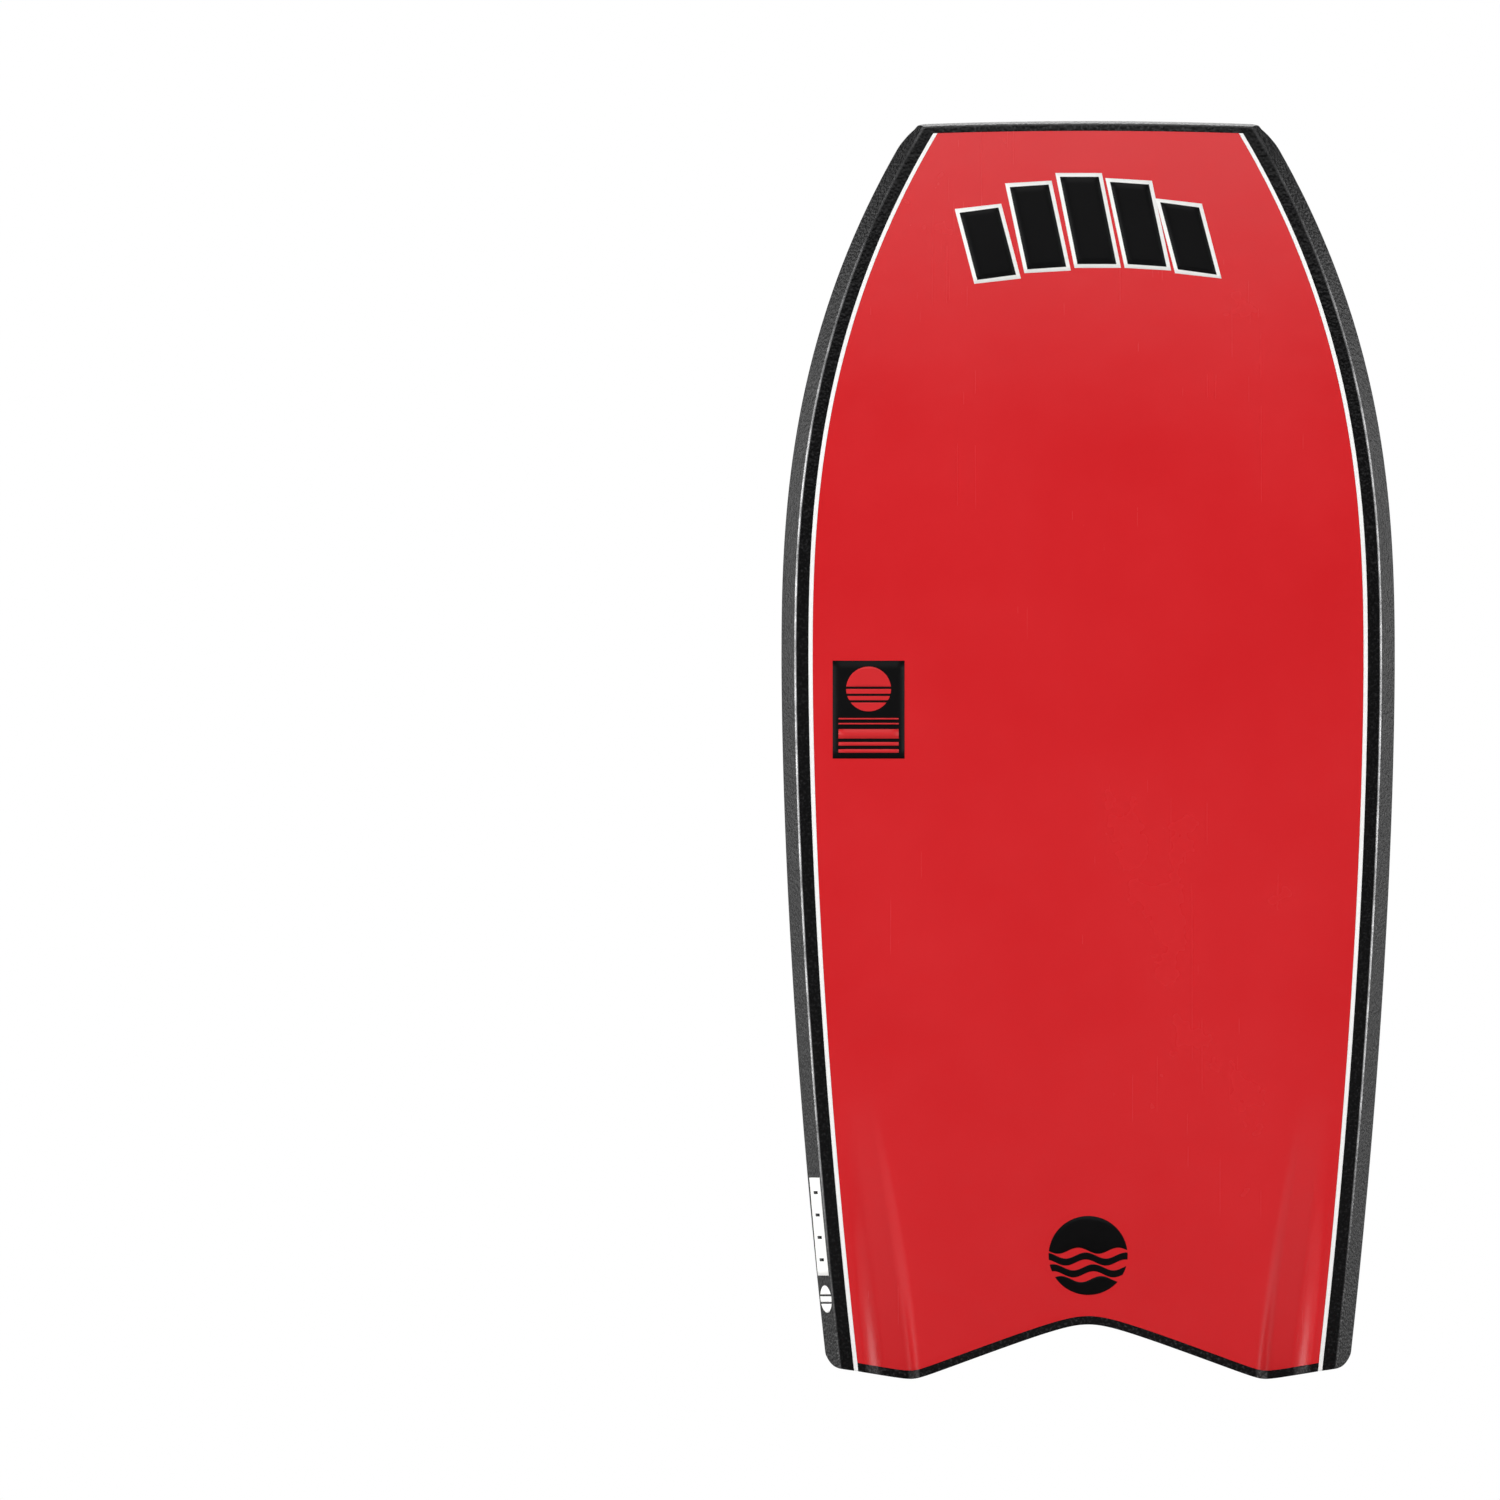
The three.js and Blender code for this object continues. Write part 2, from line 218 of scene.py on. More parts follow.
# Every outer edge of the board rounded: the pulls of all edges, summed.
def softened(x, d, z):
    s, r = endSizes, roundings
    side = np.abs(x)
    full, half = thickness(z), outline(z)
    rail = s["railShare"] * full
    bottom = half - s["bottomInset"]
    top = half - s["chineInset"]
    across = edgePull(side, d, (bottom, 0), (-1, 0), (s["bottomInset"], rail), r["slickCorner"])
    across = across + edgePull(side, d, (half, rail), (-s["bottomInset"], -rail),
                               (-s["chineInset"], full - rail), r["widest"])
    across = across + edgePull(side, d, (top, full), (s["chineInset"], rail - full), (-1, 0),
                               r["deckEdge"])
    floor = channel(x, z)
    bevel = tailFace(x, 1) - tailFace(x, 0)
    up = edgePull(z, d, (tailFace(x, 1), full), (1, 0), (-bevel, floor - full), r["tailCrest"])
    up = up + edgePull(z, d, (tailFace(x, 0), floor), (1, 0), (bevel, full - floor), r["tailFoot"])
    lip = s["lipShare"] * full
    up = up + edgePull(z, d, (noseFace(x, 1), full), (-1, 0), (noseBevel(x), lip - full),
                       r["noseCrest"], r["noseFade"])
    up = up + edgePull(z, d, (noseFace(x, s["lipShare"]), lip), (-noseBevel(x), full - lip),
                       (-s["noseLip"], -lip), r["noseLip"])
    up = up + edgePull(z, d, (noseFace(x, 0), 0), (-1, 0), (s["noseLip"], lip), r["noseFoot"])
    return x + across[0] * np.sign(x), d + across[1] + up[1], z + up[0]


# From millimetres across, deep and up the board to metres in the frame.
def placed(x, d, z, soft=True):
    if soft:
        x, d, z = softened(x, d, z)
    return np.stack([x, -rocker(z) - d, z - outlineSizes["length"] / 2], axis=-1) / 1000


# The six faces of a lattice, wound so that they point out.
def latticeFaces(index):
    sheets = [
        index[0].T, index[-1], index[:, 0], index[:, -1].T, index[:, :, 0].T, index[:, :, -1],
    ]
    quads = []
    for sheet in sheets:
        a, b = sheet[:-1, :-1].ravel(), sheet[:-1, 1:].ravel()
        c, d = sheet[1:, 1:].ravel(), sheet[1:, :-1].ravel()
        quads.append(np.stack([a, b, c, d], axis=1))
    return np.concatenate(quads)


def meshObject(name, points, faces):
    mesh = bpy.data.meshes.new(name)
    mesh.vertices.add(len(points))
    mesh.vertices.foreach_set("co", np.ascontiguousarray(points, dtype=np.float32).ravel())
    count, size = faces.shape
    mesh.loops.add(count * size)
    mesh.loops.foreach_set("vertex_index", np.ascontiguousarray(faces, dtype=np.int32).ravel())
    mesh.polygons.add(count)
    mesh.polygons.foreach_set("loop_start", np.arange(0, count * size, size, dtype=np.int32))
    mesh.update(calc_edges=True)
    mesh.validate()
    piece = bpy.data.objects.new(name, mesh)
    bpy.context.scene.collection.objects.link(piece)
    return piece


# A closed solid on a lattice. lanes, rows and steps are numbers from 0 to 1 across, down from the
# slick side and up from the tail. rowAt gives a row's share of the thickness and what it is sunk.
def latticeSolid(name, lanes, rows, steps, left, right, rowAt, tailInset=0, noseInset=0,
                 upTo=None, length=None, soft=True):
    lane, row, step = np.meshgrid(lanes, rows, steps, indexing="ij")
    share, sink = rowAt(row)
    tailX = mix(left(0, share), right(0, share), lane)
    noseX = mix(left(outlineSizes["length"], share), right(outlineSizes["length"], share), lane)

    def endAt(face, x):
        z = face(x, share)
        return face(x, share + sink / (thickness(z) - channel(x, z)))

    top = endAt(noseFace, noseX) - noseInset if upTo is None else np.full_like(lane, upTo)
    bottom = endAt(tailFace, tailX) + tailInset if length is None else top - length
    z = mix(bottom, top, step)
    x = mix(left(z, share), right(z, share), lane)
    d = mix(channel(x, z), thickness(z), share) + sink
    shape = lane.shape
    outside = np.zeros(shape, bool)
    for axis in range(3):
        edge = [slice(None)] * 3
        for end in (0, -1):
            edge[axis] = end
            outside[tuple(edge)] = True
    index = np.full(shape, -1)
    index[outside] = np.arange(outside.sum())
    return meshObject(name, placed(x[outside], d[outside], z[outside], soft), latticeFaces(index))


# Rows between listed (share, sink) pairs, with an even number of steps in each part.
def rowTable(stops, counts):
    parts = [np.linspace(i, i + 1, n, endpoint=False) for i, n in enumerate(counts)]
    rows = np.concatenate(parts + [[len(counts)]])
    share = [s[0] for s in stops]
    sink = [s[1] for s in stops]
    at = np.arange(len(stops))
    return rows, lambda row: (np.interp(row, at, share), np.interp(row, at, sink))


# Lanes from 0 to 1, mirrored about the middle, from spans of the half width and their counts.
def lanesOf(*spans):
    parts = [np.linspace(a, b, n, endpoint=False) for a, b, n in spans]
    half = np.concatenate(parts + [[1.0]])
    return (1 + np.concatenate([-half[:0:-1], half])) / 2


def eased(count):
    return (1 - np.cos(np.linspace(0, math.pi, count + 1))) / 2


def coreReach(z, share):
    return outline(z) - coreInset(share)


def edgeReach(z, share):
    return outline(z) - edgeInset(share)


def fullWidth(name, reach, stops, counts, lanes, steps, **ends):
    rows, rowAt = rowTable(stops, counts)
    return latticeSolid(name, lanes, rows, steps, lambda z, s: -reach(z, s), reach, rowAt, **ends)


def oneSide(name, side, inner, outer, stops, counts, lanes, steps, **ends):
    rows, rowAt = rowTable(stops, counts)
    if side < 0:
        near, far = inner, outer
        inner, outer = (lambda z, s: -far(z, s)), (lambda z, s: -near(z, s))
        lanes = 1 - lanes[::-1]
    return latticeSolid(name, lanes, rows, steps, inner, outer, rowAt, **ends)


# Cuts, joins or keeps what two solids share. The cutter is used up unless it is kept.
def carve(piece, cutter, how="DIFFERENCE", keep=False):
    modifier = piece.modifiers.new("carve", "BOOLEAN")
    modifier.operation = how
    modifier.solver = "MANIFOLD"
    modifier.object = cutter
    graph = bpy.context.evaluated_depsgraph_get()
    graph.update()
    mesh = bpy.data.meshes.new_from_object(piece.evaluated_get(graph))
    piece.modifiers.clear()
    old = piece.data
    piece.data = mesh
    mesh.name = piece.name
    bpy.data.meshes.remove(old)
    if not keep:
        bpy.data.objects.remove(cutter)
    return piece


def copyOf(piece, name):
    twin = bpy.data.objects.new(name, piece.data.copy())
    bpy.context.scene.collection.objects.link(twin)
    return twin


# The plan of the tail bumper, extruded through the board: a lap along the tail edge with its ends
# cut on a mitre. It is drawn to the middle of the white line, then grown or shrunk.
def lapPrism(name, grow, through=150.0, count=160):
    s = layerSizes
    run = s["mitreFoot"] - s["mitreTop"]
    rise = float(tailEdge(s["mitreTop"]) + s["lapLength"] - tailEdge(s["mitreFoot"]))
    corner = s["mitreTop"] + grow * math.hypot(run, rise) / rise - grow * run / rise
    x = np.linspace(-corner, corner, count)
    z = tailEdge(x) + s["lapLength"] + grow
    foot = corner + (z[-1] + tailZone) * run / rise
    x = np.concatenate([[-foot], x, [foot]])
    z = np.concatenate([[-tailZone], z, [-tailZone]]) - outlineSizes["length"] / 2
    n = len(x)
    ends = [np.stack([x, np.full(n, y), z], axis=1) for y in (through, -through)]
    points = np.concatenate(ends) / 1000
    ring = np.arange(n)
    sides = np.stack([ring, ring + n, np.roll(ring, -1) + n, np.roll(ring, -1)], axis=1)
    mesh = bpy.data.meshes.new(name)
    mesh.from_pydata(points.tolist(), [], [ring.tolist(), (ring[::-1] + n).tolist(), *sides.tolist()])
    mesh.update()
    piece = bpy.data.objects.new(name, mesh)
    bpy.context.scene.collection.objects.link(piece)
    return piece


halfLine = layerSizes["pinline"] / 2
layers = layerSizes["slickSkin"] + layerSizes["mesh"] + 2 * seam  # what lies on the core's slick side
noseInset = layerSizes["noseStrip"] + seam
lip, rail = endSizes["lipShare"], endSizes["railShare"]
along = eased(240)
alongTail = np.linspace(0, 1, 70) ** 1.5  # closer together at the tail edge
wideLanes = lanesOf((0, 0.66, 30), (0.66, 1, 56))  # closer together over the channels
deckLanes = lanesOf((0, 0.9, 50), (0.9, 1, 14))
# How far the tail's cutters reach past the slick, and the steps up a toe's.
cutterSizes = dict(below=42, toeBelow=21, toeSteps=30)

print("tail pieces")
tailStops = [(0, 0), (0.1, 0), (rail, 0), (0.85, 0), (1, 0)]
tailBlock = fullWidth("tailBlock", edgeReach, tailStops, [6, 8, 6, 8],
                      lanesOf((0, 0.94, 110), (0.94, 1, 24)), alongTail, upTo=tailZone)


# Past the rails: wide enough for a cutter.
def pastRails(z, share):
    return outline(z) + 2 * layerSizes["railWidth"] + 0 * share


def tailInside(extra):
    s = layerSizes
    stops = [(0, -cutterSizes["below"]), (0, 0), (1, -s["tailLap"] - extra)]
    return fullWidth("tailInside", pastRails, stops, [1, 1], lanesOf((0, 1, 110)), alongTail,
                     tailInset=s["tailStrip"] + extra, upTo=tailZone + 1, soft=False)


# Outside the pinlines the rails pass under the bumper to the tail edge, as thin toes. Beside the
# board's flat they keep their whole height up to the widest line.
def toeZone(extra):
    s = layerSizes
    bottom = (0, -cutterSizes["toeBelow"])
    line = endSizes["bottomInset"] + s["railWidth"] + seam + s["pinline"]
    lanes, steps = np.linspace(0, 1, 3), np.linspace(0, 1, cutterSizes["toeSteps"])
    zones = []
    for inset, stops in ((line, [bottom, (0, s["toe"] + extra)]),
                         (endSizes["bottomInset"], [bottom, (rail, extra)])):
        inner = lambda z, share: (outline(z) - inset - extra) + 0 * share
        top = tailZone + 2 + inset / 10  # no two cutters end at one height
        zones += [oneSide("toe", side, inner, pastRails, stops, [1], lanes, steps,
                          tailInset=-s["tailStrip"], upTo=top, soft=False) for side in (1, -1)]
    for zone in zones[1:]:
        carve(zones[0], zone, "UNION")
    return zones[0]


tailLayer = carve(carve(tailBlock, tailInside(0)), toeZone(seam))
tailCut = carve(carve(lapPrism("tailCut", halfLine + seam), tailInside(seam)), toeZone(0))
linePlan = carve(lapPrism("linePlan", halfLine), lapPrism("lineInner", -halfLine))
tailPinline = carve(copyOf(tailLayer, "tailPinline"), linePlan, "INTERSECT")
tailBumper = carve(tailLayer, lapPrism("bumperPlan", -halfLine - seam), "INTERSECT")
tailBumper.name = "tailBumper"

print("skins")


# A sheet between the rails, from one (share, sink) pair to another.
def sheet(name, lower, upper, lanes):
    return fullWidth(name, coreReach, [lower, upper], [1], lanes, along, noseInset=noseInset)


deckSkin = sheet("deckSkin", (1, -layerSizes["deckSkin"]), (1, 0), deckLanes)
carve(deckSkin, lapPrism("lap", halfLine + seam))
slickSheet = sheet("slickSheet", (0, 0), (0, layerSizes["slickSkin"]), wideLanes)
carve(slickSheet, tailCut, keep=True)
meshTop = layerSizes["slickSkin"] + seam
slickMesh = sheet("slickMesh", (0, meshTop), (0, meshTop + layerSizes["mesh"]), wideLanes)
carve(slickMesh, tailCut, keep=True)

print("rails and pinlines")


def railPieces(side, label):
    s = layerSizes
    lowerInner = lambda z, share: edgeReach(z, share) - s["railWidth"]
    lineOuter = lambda z, share: lowerInner(z, share) - seam
    lineInner = lambda z, share: lineOuter(z, share) - s["pinline"]
    upperInner = lambda z, share: coreReach(z, share) + seam
    lowerStops = [(0, 0), (0.06, 0), (lip, 0), (rail - 0.07, 0), (rail, -seam / 2)]
    upperStops = [(rail, seam / 2), (rail + 0.07, 0), (0.88, 0), (1, 0)]
    lowerLanes = np.concatenate([np.linspace(0, 0.78, 7)[:-1], np.linspace(0.78, 1, 8)])
    upperLanes, lineLanes = np.linspace(0, 1, 12), np.linspace(0, 1, 5)
    lower = oneSide("lowerRail" + label, side, lowerInner, edgeReach, lowerStops, [6, 5, 5, 6],
                    lowerLanes, along)
    upper = oneSide("upperRail" + label, side, upperInner, edgeReach, upperStops, [6, 6, 9],
                    upperLanes, along)
    line = oneSide("pinline" + label, side, lineInner, lineOuter, lowerStops, [2, 2, 2, 2],
                   lineLanes, along, noseInset=noseInset)
    for piece in (lower, upper, line):
        carve(piece, tailCut, keep=True)
    return lower, upper, line


lowerLeft, upperLeft, pinlineLeft = railPieces(1, "Left")
lowerRight, upperRight, pinlineRight = railPieces(-1, "Right")

print("nose bumper")


# The nose strip covers the pinlines' ends, below the rails' seam.
def noseReach(z, share):
    overLine = np.clip((rail - share) / 0.05, 0, 1)
    return coreReach(z, share) + (layerSizes["pinline"] + seam) * overLine


noseStops = [(0, 0), (0.12, 0), (lip, 0), (0.5, 0), (0.8, 0), (1, 0)]
noseBumper = fullWidth("noseBumper", noseReach, noseStops, [5, 6, 8, 6, 6],
                       lanesOf((0, 0.9, 60), (0.9, 1, 14)), np.linspace(0, 1, 7),
                       length=layerSizes["noseStrip"])

print("foam core")
boreSizes = dict(radius=6.65, depth=25, start=-130, end=861)
coreTop = (1, -layerSizes["deckSkin"] - seam)
coreStops = [(0, layers), (0.05, 0), (lip, 0), (rail, 0), (0.8, 0), coreTop]
foamCore = fullWidth("foamCore", coreReach, coreStops, [3, 3, 3, 3, 3], wideLanes, along,
                     noseInset=noseInset)
carve(foamCore, tailCut)


# A round bar along Z, closed by a fan at each end: radius and height as tables, in millimetres.
def turned(name, depth, radii, heights, count=48):
    turn = np.arange(count) * 2 * math.pi / count
    x = np.outer(radii, np.cos(turn))
    y = np.outer(radii, np.sin(turn)) - depth
    z = np.repeat(np.array(heights, float)[:, None], count, axis=1) - outlineSizes["length"] / 2
    points = np.stack([x, y, z], axis=-1).reshape(-1, 3) / 1000
    ring = np.arange(len(radii) * count).reshape(-1, count)
    low, high = ring[:-1], ring[1:]
    quads = np.stack([low, np.roll(low, -1, 1), np.roll(high, -1, 1), high], axis=-1)
    mesh = bpy.data.meshes.new(name)
    ends = [ring[0][::-1].tolist(), ring[-1].tolist()]
    mesh.from_pydata(points.tolist(), [], quads.reshape(-1, 4).tolist() + ends)
    mesh.update()
    piece = bpy.data.objects.new(name, mesh)
    bpy.context.scene.collection.objects.link(piece)
    return piece


bore = turned("bore", boreSizes["depth"], [boreSizes["radius"]] * 2,
              [boreSizes["start"], boreSizes["end"]])
carve(foamCore, bore)

print("printed marks")
printSizes = dict(lift=0.02, film=0.12)


# Faces of the board as surfaces: two lengths on the face and a height above it give a point.
def onSlick(a, b, lift):
    return placed(a, channel(a, b) - lift, b)


def onDeck(a, b, lift):
    return placed(a, thickness(b) + lift, b)


# a runs up the left rail's lower face from the slick corner, square to the station b.
def onRail(a, b, lift):
    drop = endSizes["railShare"] * thickness(b)
    face = np.hypot(endSizes["bottomInset"], drop)
    share = endSizes["railShare"] * a / face
    x = edgeReach(b, share) + lift * drop / face
    return placed(x, share * thickness(b) - lift * endSizes["bottomInset"] / face, b)


# A film made of patches. Each patch is two grids of lengths on the face, turned to point out.
def film(name, surface, patches, layer=0):
    low = printSizes["lift"] + layer * (printSizes["film"] + printSizes["lift"])
    points, faces, count = [], [], 0
    for a, b in patches:
        grid = np.stack([surface(a, b, low), surface(a, b, low + printSizes["film"])], axis=2)
        i, j = a.shape[0] // 2, a.shape[1] // 2
        sides = grid[i, j, 0] - grid[i - 1, j, 0], grid[i, j, 0] - grid[i, j - 1, 0]
        quads = latticeFaces(np.arange(grid[..., 0].size).reshape(grid.shape[:3]))
        if np.dot(np.cross(*sides), grid[i, j, 1] - grid[i, j, 0]) > 0:
            quads = quads[:, ::-1]
        points.append(grid.reshape(-1, 3))
        faces.append(quads + count)
        count += len(points[-1])
    return meshObject(name, np.concatenate(points), np.concatenate(faces))


# A four-sided patch: bottom left corner, width and height, how far the top leans and the right side
# rises, and how much it grows on every side.
def barPatch(x, z, width, height, lean=0, rise=0, grow=0, across=6, up=14):
    u, v = np.meshgrid(np.linspace(0, 1, across), np.linspace(0, 1, up), indexing="ij")
    lean = lean * (1 + 2 * grow / height)
    a = x - grow + (width + 2 * grow) * u + lean * (v - 0.5)
    return a, z - grow + (height + 2 * grow) * v + rise * u


# Bands across a disc: each lies between two heights, moved by a wave that is a function of x.
def discBands(x, z, radius, bands, wave, across=90, up=9):
    def limits(at):
        circle = np.sqrt(np.maximum(radius ** 2 - at ** 2, 0))
        return np.maximum(low + wave(at, shift), -circle), np.minimum(high + wave(at, shift), circle)

    thinnest = 0.012 * radius
    line = np.linspace(-radius, radius, 2001)
    u, v = np.meshgrid(eased(across), np.linspace(0, 1, up), indexing="ij")
    patches = []
    for low, high, shift in bands:
        floor, top = limits(line)
        inside = line[top - floor > thinnest]
        a = mix(inside[0], inside[-1], u)
        patches.append((x + a, z + mix(*limits(a), v)))
    return patches


def straight(x, shift):
    return 0 * x


# A wave function for a disc: a sine, or a chevron's two slopes with its peak rounded.
def waved(mark):
    turn = 2 * math.pi / mark["waveLength"]
    return lambda x, shift: mark["waveHeight"] * np.sin(turn * x + shift)


def chevron(mark):
    return lambda x, shift: -mark["slope"] * np.sqrt(x ** 2 + mark["round"] ** 2) + shift


# Bands are (low, high, shift) from the disc's middle.
def discMark(name, surface, mark, wave, across=90):
    patches = discBands(mark["x"], mark["z"], mark["radius"], mark["bands"], wave, across=across)
    return film(name, surface, patches)


sunDisc = dict(
    x=0, z=958, radius=73, waveHeight=4.5, waveLength=74,
    bands=[(5, 90, 0), (-13, -1, 0.9), (-30, -20, 1.8), (-47, -38, 2.7), (-90, -55, 3.6)],
)
noseMark = discMark("noseMark", onDeck, sunDisc, waved(sunDisc))

chevronDisc = dict(
    x=-159, z=101, radius=31, slope=0.55, round=2,
    bands=[(20, 60, 0), (8, 16, 0), (-4, 4, 0), (-16, -8, 0), (-60, -20, 0)],
)
deckTailMark = discMark("deckTailMark", onDeck, chevronDisc, chevron(chevronDisc), across=48)

waveDisc = dict(
    x=0, z=105, radius=33.5, waveHeight=2.6, waveLength=34,
    bands=[(4, 50, 0), (-6, 0, 1.2), (-16, -10, 2.4), (-50, -20, 3.6)],
)
slickTailMark = discMark("slickTailMark", onSlick, waveDisc, waved(waveDisc), across=60)

# Leaning bars along an arch: tallest and highest in the middle, off is counted from there.
noseBars = dict(
    count=5, width=33, gap=9.5, tall=74, low=57, lean=15, base=945, arch=9, keyline=3.2,
)
s = noseBars
bars = []
for i in range(s["count"]):
    off = i - (s["count"] - 1) / 2
    x = off * (s["width"] + s["gap"]) - s["width"] / 2
    z = s["base"] - s["arch"] * (off / 2) ** 2
    height = s["tall"] - (s["tall"] - s["low"]) * (off / 2) ** 2
    bars.append((x, z, s["width"], height, s["lean"], -s["arch"] * off / 4))
noseKeyline = film("noseKeyline", onSlick, [barPatch(*bar, grow=s["keyline"]) for bar in bars])
noseBarPrint = film("noseBarPrint", onSlick, [barPatch(*bar) for bar in bars], layer=1)

# A black panel with red lines, as (height above the margin, thickness), below a banded disc.
label = dict(
    x=155.5, z=526, width=61, height=83, margin=5, sun=19,
    lines=[(0, 3), (6, 3), (12, 8), (24, 1.2), (28.2, 1.2)],
    bands=[(2, 30, 0), (-4, 0, 0), (-9.5, -6, 0), (-30, -11.5, 0)],
)
s = label
panel = barPatch(s["x"], s["z"], s["width"], s["height"], across=9, up=12)
labelPanel = film("labelPanel", onSlick, [panel])
inner = s["width"] - 2 * s["margin"]
lines = [barPatch(s["x"] + s["margin"], s["z"] + s["margin"] + up, inner, tall, across=8, up=3)
         for up, tall in s["lines"]]
sunHeight = s["z"] + s["height"] - s["margin"] - s["sun"]
labelBands = discBands(s["x"] + s["width"] / 2, sunHeight, s["sun"], s["bands"], straight, across=40)
labelPrint = film("labelPrint", onSlick, lines + labelBands, layer=1)

# A white strip with black ticks, and a striped disc below it.
railMark = dict(
    low=3.2, high=26.5, start=88, end=171, disc=68, radius=11.5, middle=14,
    bands=[(-20, -4, 0), (-2.4, 2.4, 0), (4, 20, 0)],
    tickCount=4, tickFrom=7, tickLength=9, tickWidth=2.6, firstTick=12, tickStep=19,
)
s = railMark
strip = barPatch(s["low"], s["start"], s["high"] - s["low"], s["end"] - s["start"], up=16)
disc = discBands(s["middle"], s["disc"], s["radius"], s["bands"], straight, across=30, up=5)
railLabel = film("railLabel", onRail, [strip] + disc)
ticks = [barPatch(s["low"] + s["tickFrom"], s["start"] + s["firstTick"] + s["tickStep"] * i,
                  s["tickLength"], s["tickWidth"], across=3, up=3) for i in range(s["tickCount"])]
railTicks = film("railTicks", onRail, ticks, layer=1)

print("finishes")


# Adds a shader node. An input is a number, a colour or another node's output.
def addNode(tree, kind, inputs=None, **settings):
    made = tree.nodes.new("ShaderNode" + kind)
    for key, value in settings.items():
        setattr(made, key, value)
    for key, value in (inputs or {}).items():
        if isinstance(value, bpy.types.NodeSocket):
            tree.links.new(value, made.inputs[key])
        else:
            made.inputs[key].default_value = value
    return made


def newGroup(name, inputs, outputs):
    tree = bpy.data.node_groups.new(name, "ShaderNodeTree")
    kind = "NodeSocketFloat"
    for label, value in inputs.items():
        socket = tree.interface.new_socket(name=label, in_out="INPUT", socket_type=kind)
        socket.default_value = value
    for label in outputs:
        tree.interface.new_socket(name=label, in_out="OUTPUT", socket_type=kind)
    given = tree.nodes.new("NodeGroupInput").outputs
    return tree, given, tree.nodes.new("NodeGroupOutput").inputs


def spread(tree, value, low, high, fromLow=0.0, fromHigh=1.0):
    stops = {"Value": value, "From Min": fromLow, "From Max": fromHigh, "To Min": low, "To Max": high}
    return addNode(tree, "MapRange", stops).outputs["Result"]


def maths(tree, operation, a, b=0.0):
    return addNode(tree, "Math", {0: a, 1: b}, operation=operation).outputs[0]


def objectPlace(tree):
    return addNode(tree, "TexCoord").outputs["Object"]


def noise(tree, place, scale, detail, roughness=0.5):
    stops = {"Vector": place, "Scale": scale, "Detail": detail, "Roughness": roughness}
    return addNode(tree, "TexNoise", stops).outputs[0]


# Pebbled skin of closed-cell foam: rounded cells with finer grain on them, broad unevenness, and a
# mask of lighter specks that paint glints.
def pebbleGroup():
    tree, given, result = newGroup("pebbledSkin", {"Cells": 800.0, "Grain": 0.4},
                                   ["Height", "Shade", "Speck"])
    place = objectPlace(tree)
    cells = addNode(tree, "TexVoronoi", {"Vector": place, "Scale": given["Cells"], "Smoothness": 0.6},
                    feature="SMOOTH_F1").outputs["Distance"]
    grain = noise(tree, place, maths(tree, "MULTIPLY", given["Cells"], 0.55), 3.0)
    broad = noise(tree, place, 9.0, 4.0)
    rounded = maths(tree, "SUBTRACT", 1.0, cells)
    height = maths(tree, "ADD", rounded, maths(tree, "MULTIPLY", grain, given["Grain"]))
    tree.links.new(height, result["Height"])
    # Lighter specks for the colour: painted glints of the pebbled skin.
    glintNoise = noise(tree, place, given["Cells"], 1.0)
    tree.links.new(spread(tree, glintNoise, 0.0, 1.0, 0.42, 0.72), result["Speck"])
    fine, wide = spread(tree, grain, 0.0, 0.5, 0.35, 0.7), spread(tree, broad, 0.0, 0.5, 0.3, 0.7)
    tree.links.new(maths(tree, "ADD", fine, wide), result["Shade"])
    return tree


# Marks of handling: hairlines that run mostly up the board, and soft smears.
def handlingGroup():
    tree, given, result = newGroup("handling", {"Hairlines": 0.5, "Smears": 0.5}, ["Mask", "Smear"])
    place = objectPlace(tree)

    def hairlines(turn, scale, low, high):
        stops = {"Vector": place, "Rotation": (0.0, turn, 0.0), "Scale": scale}
        drawn = addNode(tree, "Mapping", stops).outputs[0]
        return spread(tree, noise(tree, drawn, 1.0, 2.0), 0.0, 1.0, low, high)

    both = maths(tree, "ADD", hairlines(0.16, (420.0, 60.0, 3.2), 0.66, 0.74),
                 hairlines(-0.7, (300.0, 60.0, 5.0), 0.7, 0.78))
    tree.links.new(maths(tree, "MULTIPLY", both, given["Hairlines"]), result["Mask"])
    soft = spread(tree, noise(tree, place, 5.5, 5.0, 0.6), 0.0, 1.0, 0.35, 0.7)
    tree.links.new(maths(tree, "MULTIPLY", soft, given["Smears"]), result["Smear"])
    return tree


# As spread, with a smooth start and end.
def ramp(tree, value, fromLow, fromHigh, low=0.0, high=1.0):
    stops = {"Value": value, "From Min": fromLow, "From Max": fromHigh, "To Min": low, "To Max": high}
    return addNode(tree, "MapRange", stops, interpolation_type="SMOOTHSTEP").outputs["Result"]


# Where an edge gets its painted highlight: how much the surface faces forward or back, and the metres
# from the board's middle between which the painted highlight fades, as it does on an edge caught by
# the side light.
highlightRange = dict(riseFrom=0.5, riseTo=0.66, fallFrom=0.86, fallTo=0.97, fadeFrom=0.2, fadeTo=0.46)
